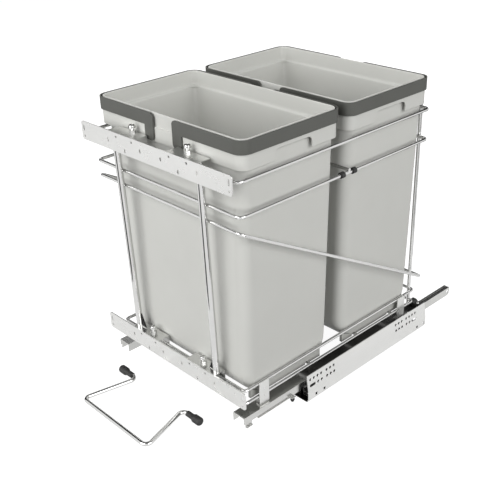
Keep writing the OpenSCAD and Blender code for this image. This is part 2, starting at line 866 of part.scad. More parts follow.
module lower_holder() {
    inner = rod_x - holder_len;
    outer = rod_x + rod_r + holder_over;
    hook_y = base_front_y + wire_r + weld_gap;
    color("gainsboro") {
        holder_sheet(lower_plate_y + plate_t, hook_y + holder_t, lower_top_z, 1, lower_adjuster_y);
        translate([inner, hook_y, lower_top_z - holder_hook_h])
            cube([outer - inner, holder_t, holder_hook_h]);
    }
}

module upper_holder() {
    color("gainsboro")
        holder_sheet(upper_plate_y + plate_t, upper_holder_rear, upper_top_z, -1, upper_adjuster_y);
}

module adjuster_places() {
    for (s = [-1, 1]) {
        translate([s * adjuster_x, lower_adjuster_y, lower_top_z]) children();
        translate([s * adjuster_x, upper_adjuster_y, upper_top_z]) children();
    }
}

module adjuster_screws() {
    neck = adjuster_h - head_h;
    color("white") adjuster_places() difference() {
        union() {
            translate([0, 0, -holder_t - adjuster_tail])
                cylinder(d = adjuster_d, h = neck + holder_t + adjuster_tail);
            translate([0, 0, neck]) cylinder(d = head_d, h = head_h / 2);
            translate([0, 0, neck + head_h / 2]) cylinder(d1 = head_d, d2 = head_top_d, h = head_h / 2);
        }
        for (a = [0, 90]) rotate(a) translate([-head_d / 4, -head_slot / 2, adjuster_h - head_slot])
            cube([head_d / 2, head_slot, 2 * head_slot]);
    }
}

module adjuster_nuts() {
    color("dimgray") adjuster_places() difference() {
        cylinder(d = nut_af / cos(30), h = nut_h, $fn = 6);
        translate([0, 0, -past]) cylinder(d = adjuster_d + 2 * pin_clear, h = nut_h + 2 * past);
    }
}

// Bins and their folding handles, drawn about the middle of a bin

// A thin slice of a box with round corners, for a hull
module corner_slice(w, d, r, z) {
    for (x = [-1, 1], y = [-1, 1])
        translate([x * (w / 2 - r), y * (d / 2 - r), z]) cylinder(r = r, h = slice_t, $fn = hull_fn);
}

// How far a round bottom edge is drawn in at a height
function foot_in(r, h) = h < r ? r - sqrt(r * r - (r - h) * (r - h)) : 0;

// The tapered body of a bin, drawn in by a wall, up to a height
module bin_body(inset, top) {
    foot_r = bin_foot_r - inset;
    side_r = bin_side_foot_r - inset;
    bottom_r = body_r - inset;
    hull() {
        corner_slice(body_w - 2 * inset, body_d - 2 * inset, bottom_r, top - slice_t);
        for (i = [0 : foot_steps]) {
            h = foot_r * (1 - cos(90 * i / foot_steps));
            in_x = foot_in(side_r, h);
            in_y = foot_in(foot_r, h);
            corner_slice(bin_bottom_w - 2 * (inset + in_x), bin_bottom_d - 2 * (inset + in_y),
                bottom_r - in_y / 3, bin_z + inset + h);
        }
    }
}

// A grip cut in the skirt, with round upper corners
module grip_cut() {
    along_x(bin_w / 2 - skirt_t - grip_past, skirt_t + 2 * grip_past) difference() {
        translate([-grip_w / 2, skirt_z - past]) square([grip_w, grip_h + past]);
        for (s = [-1, 1]) translate([s * (grip_w / 2 - grip_r), skirt_z + grip_h - grip_r]) difference() {
            translate([s > 0 ? 0 : -grip_r - past, 0]) square([grip_r + past, grip_r + past]);
            circle(grip_r);
        }
    }
}

module bin() {
    color("lightgray") {
        difference() {
            union() {
                bin_body(0, shoulder_z);
                difference() {
                    translate([0, 0, skirt_z]) linear_extrude(skirt_h)
                        round_rect(bin_w, bin_d, bin_corner_r);
                    translate([0, 0, skirt_z - past])
                        linear_extrude(shoulder_z - shoulder_t - skirt_z + past)
                            round_rect(bin_w - 2 * skirt_t, bin_d - 2 * skirt_t, bin_corner_r - skirt_t);
                    for (s = [0, 180]) rotate(s) grip_cut();
                }
                translate([0, 0, skirt_top_z - past]) linear_extrude(rim_h + past)
                    round_rect(rim_w, rim_d, rim_r);
            }
            bin_body(bin_wall, shoulder_z + slice_t);
            translate([0, 0, shoulder_z]) linear_extrude(rim_h + skirt_h)
                round_rect(rim_w - 2 * bin_wall, rim_d - 2 * bin_wall, rim_r - bin_wall);
        }
        for (x = [-1, 1], y = [-1, 1])
            translate([x * pivot_x, y * (rim_d / 2 - bin_wall / 2), pivot_z])
                rotate([y > 0 ? -90 : 90, 0, 0])
                    cylinder(d = peg_d, h = bin_wall / 2 + rebate + swing_gap + peg_len);
    }
}

// The flat outline of a hook, in X and Z from the pivot, with its round ends
module hook_2d() {
    top = band_h - hook_r;
    translate([-hook_w / 2, -hook_drop + hook_r]) square([hook_w, top + hook_drop - hook_r]);
    translate([-hook_w / 2 + hook_r, -hook_drop]) square([hook_w - 2 * hook_r, band_h + hook_drop]);
    translate([-hook_w / 2, 0]) square([hook_w - hook_r, band_h]);
    for (s = [-1, 1]) translate([s * (hook_w / 2 - hook_r), -hook_drop + hook_r]) circle(hook_r);
    translate([hook_w / 2 - hook_r, top]) circle(hook_r);
}

// The left handle of a bin: a band round half of the rim and a hook at each end
module handle() {
    reach = bin_w;
    color("dimgray") difference() {
        union() {
            translate([0, 0, pivot_z]) linear_extrude(band_h) intersection() {
                difference() {
                    round_rect(band_in_w + 2 * band_t, band_in_d + 2 * band_t, band_in_r + band_t);
                    round_rect(band_in_w, band_in_d, band_in_r);
                }
                translate([-pivot_x - reach, -reach / 2]) square([reach, reach]);
            }
            for (y = [-1, 1]) translate([-pivot_x, 0, pivot_z])
                along_y(y > 0 ? band_in_d / 2 : -band_in_d / 2 - band_t, band_t) hook_2d();
        }
        for (y = [-1, 1]) translate([-pivot_x, y * band_in_d / 2, pivot_z])
            rotate([y > 0 ? -90 : 90, 0, 0]) translate([0, 0, -past])
                cylinder(d = peg_d + 2 * peg_clear, h = past + peg_len + peg_room);
    }
}

// Loose wire bracket on the floor, tilted so that its long run and its sleeves rest

module loose_frame() {
    translate([loose_x, loose_mouth_y, sleeve_d / 2]) rotate([loose_tilt, 0, 0]) children();
}

module loose_bracket() {
    base = loose_base_w / 2;
    mouth = loose_mouth_w / 2;
    tip = mouth + loose_ear;
    color("silver") loose_frame() wire_path([
        [-tip, 0], [-mouth, 0], [-base, -loose_depth], [base, -loose_depth], [mouth, 0], [tip, 0]
    ], loose_bend_r, loose_d, false);
}

module loose_sleeve() {
    bulb = sleeve_d / 2;
    neck = sleeve_neck_d / 2;
    end = loose_mouth_w / 2 + loose_ear + sleeve_cap;
    color("#262626") loose_frame() translate([end, 0, 0]) rotate([0, -90, 0]) difference() {
        rotate_extrude() difference() {
            polygon([
                [0, 0], [bulb, 0], [bulb, sleeve_bulb], [neck, sleeve_bulb + sleeve_taper],
                [neck, sleeve_len], [0, sleeve_len]
            ]);
            translate([bulb, 0]) corner_2d(sleeve_end_r, past);
        }
        translate([0, 0, sleeve_cap - slip_clear]) cylinder(r = sleeve_bore_r, h = sleeve_len);
    }
}

place() on_slide(-1) cabinet_bracket();  // left_cabinet_bracket
place() on_slide(1) cabinet_bracket();  // right_cabinet_bracket
place() on_slide(-1) fixed_rail();  // left_fixed_rail
place() on_slide(1) fixed_rail();  // right_fixed_rail
place() on_slide(-1) rail_saddles();  // left_rail_saddles
place() on_slide(1) rail_saddles();  // right_rail_saddles
place() on_slide(-1) saddle_rivets();  // left_saddle_rivets
place() on_slide(1) saddle_rivets();  // right_saddle_rivets
place() on_slide(-1) intermediate_rail();  // left_intermediate_rail
place() on_slide(1) intermediate_rail();  // right_intermediate_rail
place() on_slide(-1)  // left_inner_ball_cage
        ball_cage(inner_race_x, inner_cage_y, inner_race_z, inner_balls, inner_cage_len);
place() on_slide(1)  // right_inner_ball_cage
        ball_cage(inner_race_x, inner_cage_y, inner_race_z, inner_balls, inner_cage_len);
place() on_slide(-1) balls(inner_race_x, inner_cage_y, inner_race_z, inner_balls);  // left_inner_balls
place() on_slide(1) balls(inner_race_x, inner_cage_y, inner_race_z, inner_balls);  // right_inner_balls
place() on_slide(-1)  // left_outer_ball_cage
        ball_cage(outer_race_x, outer_cage_y, outer_race_z, outer_balls, outer_cage_len);
place() on_slide(1)  // right_outer_ball_cage
        ball_cage(outer_race_x, outer_cage_y, outer_race_z, outer_balls, outer_cage_len);
place() on_slide(-1) balls(outer_race_x, outer_cage_y, outer_race_z, outer_balls);  // left_outer_balls
place() on_slide(1) balls(outer_race_x, outer_cage_y, outer_race_z, outer_balls);  // right_outer_balls
place() on_slide(-1) drawer_runner();  // left_drawer_runner
place() on_slide(1) drawer_runner();  // right_drawer_runner
place() on_slide(-1) runner_bumper();  // left_runner_bumper
place() on_slide(1) runner_bumper();  // right_runner_bumper
place() on_slide(-1) rear_clip();  // left_rear_clip
place() on_slide(1) rear_clip();  // right_rear_clip
place() clip_screws();
place() on_side(-1) upright(front_strap_y);  // left_front_upright
place() on_side(1) upright(front_strap_y);  // right_front_upright
place() on_side(-1) upright(rear_strap_y);  // left_rear_upright
place() on_side(1) upright(rear_strap_y);  // right_rear_upright
place() upright_rivets();
place() bottom_ring(carrier_z);  // carrier_ring
place() cross_wires();
place() bottom_ring(guard_z);  // guard_ring
place() on_side(-1) rear_post();  // left_rear_post
place() on_side(1) rear_post();  // right_rear_post
place() brace_loop();
place() upper_ring(mid_ring_z);  // middle_ring
place() upper_ring(top_ring_z);  // top_ring
place() on_side(-1) front_rod();  // left_front_rod
place() on_side(1) front_rod();  // right_front_rod
place() door_plate(lower_plate_y, lower_plate_z);  // lower_door_plate
place() door_plate(upper_plate_y, upper_plate_z);  // upper_door_plate
place() on_side(-1) lower_holder();  // lower_left_holder
place() on_side(1) lower_holder();  // lower_right_holder
place() on_side(-1) upper_holder();  // upper_left_holder
place() on_side(1) upper_holder();  // upper_right_holder
place() adjuster_screws();
place() adjuster_nuts();
place() divider_bar();
place() divider_grommets();
place() translate([0, front_bin_y, 0]) bin();  // front_bin
place() translate([0, front_bin_y, 0]) handle();  // front_left_handle
place() translate([0, front_bin_y, 0]) rotate(180) handle();  // front_right_handle
place() translate([0, rear_bin_y, 0]) bin();  // rear_bin
place() translate([0, rear_bin_y, 0]) handle();  // rear_left_handle
place() translate([0, rear_bin_y, 0]) rotate(180) handle();  // rear_right_handle
place() loose_bracket();
place() translate([2 * loose_x, 0, 0]) mirror([1, 0, 0]) loose_sleeve();  // loose_left_sleeve
place() loose_sleeve();  // loose_right_sleeve
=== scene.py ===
"""Looks for the pull-out bin frame: moulded bins and handles, chrome wire, plated sheet and a studio."""
import json
import math

import bpy
from mathutils import Matrix, Vector


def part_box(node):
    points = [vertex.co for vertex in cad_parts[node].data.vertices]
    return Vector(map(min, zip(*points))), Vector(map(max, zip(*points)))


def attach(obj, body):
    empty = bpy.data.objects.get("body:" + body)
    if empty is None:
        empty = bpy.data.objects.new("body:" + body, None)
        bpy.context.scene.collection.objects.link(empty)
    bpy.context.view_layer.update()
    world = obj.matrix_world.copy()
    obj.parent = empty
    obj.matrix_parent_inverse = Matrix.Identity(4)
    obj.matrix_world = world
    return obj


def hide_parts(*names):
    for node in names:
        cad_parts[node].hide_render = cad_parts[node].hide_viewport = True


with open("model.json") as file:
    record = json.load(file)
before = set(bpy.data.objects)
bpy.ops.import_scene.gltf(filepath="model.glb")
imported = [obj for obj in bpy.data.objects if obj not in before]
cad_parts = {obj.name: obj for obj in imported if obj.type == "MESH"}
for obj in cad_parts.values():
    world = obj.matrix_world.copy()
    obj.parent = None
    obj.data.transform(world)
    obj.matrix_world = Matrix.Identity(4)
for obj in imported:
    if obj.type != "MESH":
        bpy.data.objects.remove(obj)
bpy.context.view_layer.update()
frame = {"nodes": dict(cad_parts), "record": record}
nodes = frame["nodes"]
slot_of = {part["node"]: part["material_slot"] for part in frame["record"]["subparts"]}
scene = bpy.context.scene
MM = 0.001


def bearing(azimuth, elevation=0.0):
    """A direction away from the part, in degrees: azimuth 0 is the front and 90 the right side."""
    a, e = math.radians(azimuth), math.radians(elevation)
    return Vector((math.sin(a) * math.cos(e), -math.cos(a) * math.cos(e), math.sin(e)))


# Camera, fitted to the photograph as an image of 500 by 500 pixels

IMAGE_PX, FOCAL_PX, SENSOR_MM = 500, 816.99, 36
AZIMUTH, ELEVATION, ROLL = 46.93, 27.2, math.radians(-1.85)
EYE = Vector((1.0157, -0.99864, 0.948))
back = bearing(AZIMUTH, ELEVATION)
level_right = bearing(AZIMUTH + 90)
level_up = back.cross(level_right)
right = math.cos(ROLL) * level_right + math.sin(ROLL) * level_up
up = -math.sin(ROLL) * level_right + math.cos(ROLL) * level_up
camera_data = bpy.data.cameras.new("camera")
camera_data.sensor_width = SENSOR_MM
camera_data.lens = FOCAL_PX / IMAGE_PX * SENSOR_MM
camera = bpy.data.objects.new("camera", camera_data)
scene.collection.objects.link(camera)
camera.matrix_world = Matrix.Translation(EYE) @ Matrix((right, up, back)).transposed().to_4x4()
scene.camera = camera


# Materials

EVEN = (1, 1, 1)
NOISE_LOW, NOISE_HIGH, NOISE_ROUGHNESS = 0.3, 0.7, 0.55
MOTTLE_DETAIL, GRAIN_DETAIL = 3.0, 2.0
PATCH_RATIO = 2.3
BEVEL_SAMPLES = 6


def link(tree, output, socket):
    tree.links.new(output, socket)


def noise(tree, scale, stretch, detail):
    """A noise value over the object's own metres, stretched along its axes."""
    coords = tree.nodes.new("ShaderNodeTexCoord")
    mapping = tree.nodes.new("ShaderNodeMapping")
    mapping.inputs["Scale"].default_value = stretch
    texture = tree.nodes.new("ShaderNodeTexNoise")
    texture.inputs["Scale"].default_value = scale
    texture.inputs["Detail"].default_value = detail
    texture.inputs["Roughness"].default_value = NOISE_ROUGHNESS
    link(tree, coords.outputs["Object"], mapping.inputs["Vector"])
    link(tree, mapping.outputs["Vector"], texture.inputs["Vector"])
    return texture.outputs["Fac"]


def between(tree, value, low, high):
    """A noise value spread between two numbers."""
    node = tree.nodes.new("ShaderNodeMapRange")
    node.inputs["From Min"].default_value = NOISE_LOW
    node.inputs["From Max"].default_value = NOISE_HIGH
    node.inputs["To Min"].default_value = low
    node.inputs["To Max"].default_value = high
    link(tree, value, node.inputs["Value"])
    return node.outputs["Result"]


def shaded(tree, value, first, second):
    """A colour that runs between two colours with a noise value."""
    ramp = tree.nodes.new("ShaderNodeValToRGB")
    stops = ramp.color_ramp.elements
    stops[0].position, stops[1].position = NOISE_LOW, NOISE_HIGH
    stops[0].color, stops[1].color = (*first, 1), (*second, 1)
    link(tree, value, ramp.inputs["Fac"])
    return ramp.outputs["Color"]


def zoned(tree, colour, zone_colour, axis, full, none):
    """A colour that gives way to a colour of painted shade along an object axis: all at one mark, not at all
    at the other.
    """
    coords = tree.nodes.new("ShaderNodeTexCoord")
    parts = tree.nodes.new("ShaderNodeSeparateXYZ")
    share = tree.nodes.new("ShaderNodeMapRange")
    share.inputs["From Min"].default_value = full
    share.inputs["From Max"].default_value = none
    mix = tree.nodes.new("ShaderNodeMix")
    mix.data_type = "RGBA"
    mix.inputs["A"].default_value = (*zone_colour, 1)
    link(tree, coords.outputs["Object"], parts.inputs["Vector"])
    link(tree, parts.outputs[axis], share.inputs["Value"])
    link(tree, share.outputs["Result"], mix.inputs["Factor"])
    link(tree, colour, mix.inputs["B"])
    return mix.outputs["Result"]


def material(name, colours, roughness, mottle, grain, metallic=0.0, round_mm=0.0, zone=None):
    """A procedural finish: mottled colour, uneven roughness, a fine grain and softly rounded edges; a zone
    adds painted shade along an object axis.
    """
    mat = bpy.data.materials.new(name)
    mat.use_nodes = True
    tree = mat.node_tree
    shader = tree.nodes["Principled BSDF"]
    shader.inputs["Metallic"].default_value = metallic
    patch_scale, patch_stretch = mottle
    colour = shaded(tree, noise(tree, patch_scale, patch_stretch, MOTTLE_DETAIL), *colours)
    if zone:
        colour = zoned(tree, colour, *zone)
    link(tree, colour, shader.inputs["Base Color"])
    patches = noise(tree, patch_scale * PATCH_RATIO, patch_stretch, MOTTLE_DETAIL)
    link(tree, between(tree, patches, *roughness), shader.inputs["Roughness"])
    grain_scale, grain_stretch, grain_mm = grain
    bump = tree.nodes.new("ShaderNodeBump")
    bump.inputs["Strength"].default_value = 1.0
    bump.inputs["Distance"].default_value = grain_mm * MM
    link(tree, noise(tree, grain_scale, grain_stretch, GRAIN_DETAIL), bump.inputs["Height"])
    if round_mm:
        edge = tree.nodes.new("ShaderNodeBevel")
        edge.samples = BEVEL_SAMPLES
        edge.inputs["Radius"].default_value = round_mm * MM
        link(tree, edge.outputs["Normal"], bump.inputs["Normal"])
    link(tree, bump.outputs["Normal"], shader.inputs["Normal"])
    return mat


# Marks for the zones of painted shade, in metres: the stretch inside the bracket, the bins' foot, the lower
# holders' top face under their gussets, and the brackets' floor
cover_start, cover_end = (corner.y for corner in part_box("right_cabinet_bracket"))
bin_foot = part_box("front_bin")[0].z
GUSSET_H = 0.028
holder_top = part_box("lower_right_holder")[1].z - GUSSET_H
BRACKET_FLOOR = (0.0016, 0.0024)

# Colours of painted shade: inside the brackets, on the runners' stretch in them and on the lower holders'
# gussets
DEEP_PAINTED_SHADE, SHADE, GUSSET_PAINTED_SHADE = (0.06, 0.059, 0.056), (0.2, 0.198, 0.192), (0.02, 0.02, 0.02)
# Painted shade for the bins' foot
BIN_SHADE = (0.43, 0.432, 0.41)
ROLLED_X = dict(metallic=1.0, mottle=(14, (1, 2, 2)), grain=(60, (1, 40, 40), 0.0015), round_mm=0.5)
ROLLED_Y = dict(metallic=1.0, mottle=(14, (2, 1, 2)), grain=(60, (40, 1, 40), 0.0015), round_mm=0.5)
RAIL = dict(colours=((0.655, 0.655, 0.638), (0.68, 0.68, 0.662)), roughness=(0.2, 0.25), **ROLLED_Y)
FINISHES = {
    # painted shade on the bins' foot, full up to 16 mm over the base and gone at 30 mm
    "bin_plastic": dict(
        colours=((0.602, 0.604, 0.574), (0.62, 0.622, 0.592)), roughness=(0.4, 0.48), mottle=(9, EVEN),
        grain=(1400, EVEN, 0.01), zone=(BIN_SHADE, "Z", bin_foot + 0.016, bin_foot + 0.03)),
    "handle_plastic": dict(
        colours=((0.078, 0.08, 0.071), (0.086, 0.088, 0.079)), roughness=(0.4, 0.48), mottle=(14, EVEN),
        grain=(1600, EVEN, 0.012), round_mm=0.9),
    "chrome_wire": dict(
        colours=((0.7, 0.7, 0.692), (0.74, 0.74, 0.732)), roughness=(0.04, 0.08), mottle=(30, EVEN),
        grain=(220, EVEN, 0.003), metallic=1.0),
    "plated_sheet": dict(
        colours=((0.745, 0.745, 0.73), (0.77, 0.77, 0.755)), roughness=(0.26, 0.31), **ROLLED_X),
    # painted shade: the gussets over the lower holders' top face are dark
    "lower_holder": dict(
        colours=((0.66, 0.66, 0.647), (0.69, 0.69, 0.677)), roughness=(0.22, 0.27),
        zone=(GUSSET_PAINTED_SHADE, "Z", holder_top + 0.002, holder_top + 0.0008), **ROLLED_X),
    # painted shade on the brackets' floor, up to 1.6 mm and fading out by 2.4 mm
    "bracket_sheet": dict(
        colours=((0.77, 0.77, 0.756), (0.8, 0.8, 0.786)), roughness=(0.2, 0.25),
        zone=(DEEP_PAINTED_SHADE, "Z", *BRACKET_FLOOR), **ROLLED_Y),
    # painted shade on the fixed rails' stretch inside the brackets
    "covered_rail": dict(RAIL, zone=(DEEP_PAINTED_SHADE, "Y", cover_end - 0.004, cover_end + 0.002)),
    # painted shade on the runners' stretch inside the brackets
    "covered_runner": dict(RAIL, zone=(SHADE, "Y", cover_start + 0.03, cover_start - 0.002)),
    # the intermediate rails and their saddles in a darker steel
    "dark_steel": dict(
        colours=((0.22, 0.217, 0.21), (0.28, 0.277, 0.27)), roughness=(0.28, 0.38), mottle=(25, (2, 1, 2)),
        grain=(60, (40, 1, 40), 0.002), metallic=1.0, round_mm=0.3),
    "fastener_steel": dict(
        colours=((0.6, 0.6, 0.588), (0.65, 0.65, 0.638)), roughness=(0.1, 0.18), mottle=(90, EVEN),
        grain=(500, EVEN, 0.004), metallic=1.0, round_mm=0.3),
    "black_rubber": dict(
        colours=((0.014, 0.014, 0.014), (0.024, 0.024, 0.023)), roughness=(0.55, 0.7), mottle=(60, EVEN),
        grain=(1500, EVEN, 0.02), round_mm=0.8),
    "black_plastic": dict(
        colours=((0.018, 0.018, 0.018), (0.028, 0.028, 0.027)), roughness=(0.4, 0.5), mottle=(40, EVEN),
        grain=(1500, EVEN, 0.015), round_mm=0.4),
    "cage_nylon": dict(
        colours=((0.68, 0.65, 0.54), (0.74, 0.71, 0.6)), roughness=(0.4, 0.55), mottle=(40, EVEN),
        grain=(1500, EVEN, 0.01), round_mm=0.2),
}
finish = {name: material(name, **values) for name, values in FINISHES.items()}
OWN_LOOKS = {
    "_intermediate_rail": "dark_steel",
    "_rail_saddles": "dark_steel",
    "_fixed_rail": "covered_rail",
    "_drawer_runner": "covered_runner",
    "_cabinet_bracket": "bracket_sheet",
}


def look_of(name):
    """The finish of a CAD node: that of its slot, unless the photograph shows it darker or brighter."""
    if name.startswith("lower_") and name.endswith("_holder"):
        return "lower_holder"
    for ending, look in OWN_LOOKS.items():
        if name.endswith(ending):
            return look
    return slot_of[name]


for name, obj in nodes.items():
    obj.data.materials.clear()
    obj.data.materials.append(finish[look_of(name)])


# Mesh helpers

SHARP_ANGLE = math.radians(50)


def make(name, points, faces, slot, body, stands_for):
    """A smooth mesh piece in the CAD frame, from points in millimetres, that stands for a node."""
    mesh = bpy.data.meshes.new(name)
    mesh.from_pydata([tuple(c * MM for c in p) for p in points], [], faces)
    mesh.validate()
    mesh.polygons.foreach_set("use_smooth", [True] * len(mesh.polygons))
    mesh.set_sharp_from_angle(angle=SHARP_ANGLE)
    mesh.update()
    obj = bpy.data.objects.new(name, mesh)
    scene.collection.objects.link(obj)
    mesh.materials.append(finish[slot])
    even = obj.modifiers.new("even", "WEIGHTED_NORMAL")
    even.keep_sharp = True
    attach(obj, body)
    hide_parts(stands_for)


def stitch(rings):
    """Quads between rings of equal length, with a cap on the first and the last ring."""
    n = len(rings[0])
    points = [p for ring in rings for p in ring]
    faces = []
    for i in range(len(rings) - 1):
        for j in range(n):
            k = (j + 1) % n
            faces.append((i * n + j, i * n + k, (i + 1) * n + k, (i + 1) * n + j))
    faces.append(tuple(range(n - 1, -1, -1)))
    faces.append(tuple((len(rings) - 1) * n + j for j in range(n)))
    return points, faces


def join(*parts):
    """One list of points and one of faces from several."""
    points, faces = [], []
    for p, f in parts:
        faces += [tuple(i + len(points) for i in face) for face in f]
        points += p
    return points, faces


def circle(steps):
    """Cosine and sine at even steps round a circle."""
    angles = [math.radians(360 / steps * i) for i in range(steps)]
    return [(math.cos(a), math.sin(a)) for a in angles]


def mirrored(values):
    return [-v for v in reversed(values[1:])] + values


# Bins: one closed loft from the underside up the outside, over the rim and down the inside

BIN_W, BIN_D, BIN_H = 368.0, 223.0, 480.0
BOTTOM_W, BOTTOM_D = 332.0, 207.0
WALL, FOOT_R, SIDE_FOOT_R, BODY_R, SKIRT_R = 3.0, 42.0, 3.2, 22.0, 18.0
SKIRT_H, RIM_H, REBATE, SKIRT_T = 26.0, 24.0, 2.5, 2.5
SHOULDER_X, SHOULDER_Y, SHOULDER_DROP, SHOULDER_T = 8.0, 6.5, 4.0, 3.5
# Notch in the skirt's short sides, to grip the bin: GRIP_EASE off its height, GRIP_SIDE for its upright sides
GRIP_W, GRIP_H, GRIP_R, GRIP_EASE, GRIP_SIDE = 85.0, 19.0, 9.0, 0.4, 0.25
NO_LIFT = -1e9
# Rear corners of the wall have this share of the front corners' radius
CORNER_STEPS, REAR_SHARE = 12, 0.46
# Places of the points on half a short side, close together at the notch's corner, and on half a long side
SIDE_Y = mirrored([0, 12, 24, 33.5, 35.6, 37.6, 39.3, 40.7, 41.7, 42.3, 42.5, 42.62, 42.75, 43.0, 46, 54, 62])
SIDE_X = mirrored([0, 18, 36, 70, 105])
FIT_MARGIN = 1
# Half width, half depth, corner radius and height of the rings of the underside, and the ring on the floor
UNDERSIDE = ((70, 30, 6, 1.2), (128, 50, 8, 1.2), (131, 53, 8, 0))
FLOOR_RING = (110, 40, 8)
FOOT_TURNS = (0, 5, 10, 15, 20, 26, 32, 38, 45, 55, 65, 77, 90)
OUTER_SHARES = (0.02, 0.06, 0.2, 0.5, 0.8, 0.94, 0.985)
INNER_SHARES = (0.95, 0.85, 0.5, 0.2, 0.06, 0.02)
# Small roundings: steps inwards or outwards with the step down or up
SKIRT_TOP_EDGE = ((0, 1.2), (0.35, 0.35), (1.2, 0))
RIM_FILLET = ((0.6, 0), (0.15, 0.2), (0, 0.8))
SKIRT_EDGE_STEPS, RIM_STEPS, RIM_STRAIGHT = 6, 8, 3
EDGE_SHARE = 0.999


def outline(hx, hy, r, z, lift=None, rear=None):
    """A rectangle with round corners; lift raises its short sides, rear is another radius at the rear."""
    fit_x = min(1, (hx - r) / (SIDE_X[-1] + FIT_MARGIN))
    fit_y = min(1, (hy - r) / (SIDE_Y[-1] + FIT_MARGIN))
    points = []
    for quarter in range(4):
        sign = 1 if quarter < 2 else -1
        if quarter % 2 == 0:
            points += [(sign * hx, sign * y * fit_y, max(z, lift(y)) if lift else z) for y in SIDE_Y]
        else:
            points += [(-sign * x * fit_x, sign * hy, z) for x in SIDE_X]
        turn = rear if rear and quarter < 2 else r
        cx = (hx - turn) * (1 if quarter in (0, 3) else -1)
        cy = (hy - turn) * sign
        for i in range(CORNER_STEPS + 1):
            a = math.radians(90 * quarter + 90 * i / CORNER_STEPS)
            points.append((cx + turn * math.cos(a), cy + turn * math.sin(a), z))
    return points


def bin_rings(base):
    """Outlines of a bin, from the middle of its underside to the middle of its floor."""
    rim = base + BIN_H
    skirt_top = rim - RIM_H
    skirt = skirt_top - SKIRT_H
    ledge = skirt_top - SHOULDER_DROP
    under = ledge - SHOULDER_T
    top_hx, top_hy = BIN_W / 2 - SHOULDER_X, BIN_D / 2 - SHOULDER_Y
    out_hx, out_hy = BIN_W / 2, BIN_D / 2
    rim_hx, rim_hy, rim_r = out_hx - REBATE, out_hy - REBATE, SKIRT_R - REBATE

    def body(z, inset):
        t = (z - base - FOOT_R) / (ledge - base - FOOT_R)
        hx = BOTTOM_W / 2 + t * (top_hx - BOTTOM_W / 2) - inset
        hy = BOTTOM_D / 2 + t * (top_hy - BOTTOM_D / 2) - inset
        return hx, hy, BODY_R - inset, z

    def foot(inset, degrees):
        angle = math.radians(degrees)
        r, side = FOOT_R - inset, SIDE_FOOT_R - inset
        rise, in_y = r * (1 - math.cos(angle)), r * (1 - math.sin(angle))
        in_x = side - math.sqrt(side * side - max(side - rise, 0) ** 2)
        return (BOTTOM_W / 2 - inset - in_x, BOTTOM_D / 2 - inset - in_y, BODY_R - inset - in_y / 3,
                base + inset + rise)

    def notch(grow):
        half, r, top = GRIP_W / 2, GRIP_R, skirt + GRIP_H - GRIP_EASE + grow

        def lift(y):
            y = abs(y)
            if y >= half + GRIP_SIDE:
                return NO_LIFT
            if y >= half:
                return skirt + grow + (half + GRIP_SIDE - y) / GRIP_SIDE * (GRIP_H - r - GRIP_EASE)
            if y <= half - r:
                return top
            return top - r + math.sqrt(max(r * r - (y - half + r) ** 2, 0))
        return lift

    rings = []

    def add(hx, hy, r, z, lift=None):
        rings.append(outline(hx, hy, r, z, lift))

    def add_wall(hx, hy, r, z):
        rings.append(outline(hx, hy, r, z, None, r * REAR_SHARE))

    # Underside, raised a little in its middle, then the foot and the outer wall up to the shoulder
    for hx, hy, r, z in UNDERSIDE:
        add(hx, hy, r, base + z)
    for turn in FOOT_TURNS:
        add_wall(*foot(0, turn))
    for share in OUTER_SHARES:
        add_wall(*body(base + FOOT_R + share * (under - base - FOOT_R), 0))
    hx, hy, r, _ = body(under, 0)
    add_wall(hx + 0.15, hy + 0.15, r, under - 0.6)
    add(hx + 0.8, hy + 0.8, r, under)
    # Inside of the skirt, its rounded lower edge, its outer face and its top
    in_hx, in_hy, in_r = out_hx - SKIRT_T, out_hy - SKIRT_T, SKIRT_R - SKIRT_T
    add(in_hx - 0.8, in_hy - 0.8, in_r - 0.8, under)
    add(in_hx - 0.2, in_hy - 0.2, in_r - 0.2, under - 0.3, notch(-0.25))
    edge = SKIRT_T / 2
    for i in range(SKIRT_EDGE_STEPS + 1):
        a = math.radians(180 + 180 / SKIRT_EDGE_STEPS * i)
        inset = edge - edge * math.cos(a)
        add(out_hx - inset, out_hy - inset, SKIRT_R - inset, skirt + edge + edge * math.sin(a) * EDGE_SHARE,
            notch(edge + edge * math.sin(a)))
    add(out_hx, out_hy, SKIRT_R, skirt + 8, notch(edge + 0.2))
    for inset, drop in SKIRT_TOP_EDGE:
        add(out_hx - inset, out_hy - inset, SKIRT_R - inset, skirt_top - drop)
    for grow, rise in RIM_FILLET:
        add(rim_hx + grow, rim_hy + grow, rim_r + grow, skirt_top + rise)
    # Rim with a round top
    half = WALL / 2
    mid_hx, mid_hy, mid_r = rim_hx - half, rim_hy - half, rim_r - half
    add(rim_hx, rim_hy, rim_r, rim - half - RIM_STRAIGHT)
    for i in range(RIM_STEPS + 1):
        a = math.radians(180 / RIM_STEPS * i)
        add(mid_hx + half * math.cos(a), mid_hy + half * math.cos(a), mid_r + half * math.cos(a),
            rim - half + half * math.sin(a))
    # Ledge inside with its roundings, inner wall, foot and floor
    lip_hx, lip_hy, lip_r = rim_hx - WALL, rim_hy - WALL, rim_r - WALL
    add(lip_hx, lip_hy, lip_r, ledge + 6)
    add(lip_hx - 0.3, lip_hy - 0.3, lip_r, ledge + 2.4)
    add(lip_hx - 1.0, lip_hy - 1.0, lip_r + 0.5, ledge + 0.8)
    hx, hy, r, _ = body(ledge, WALL)
    add(hx + 1.9, hy + 1.7, r - 1, ledge - 0.2)
    add(hx + 0.6, hy + 0.6, r, ledge - 1.0)
    add_wall(*body(ledge - 3.2, WALL))
    for share in INNER_SHARES:
        add_wall(*body(base + FOOT_R + share * (ledge - base - FOOT_R), WALL))
    for turn in reversed(FOOT_TURNS):
        add_wall(*foot(WALL, turn))
    add(*FLOOR_RING, base + WALL)
    return rings


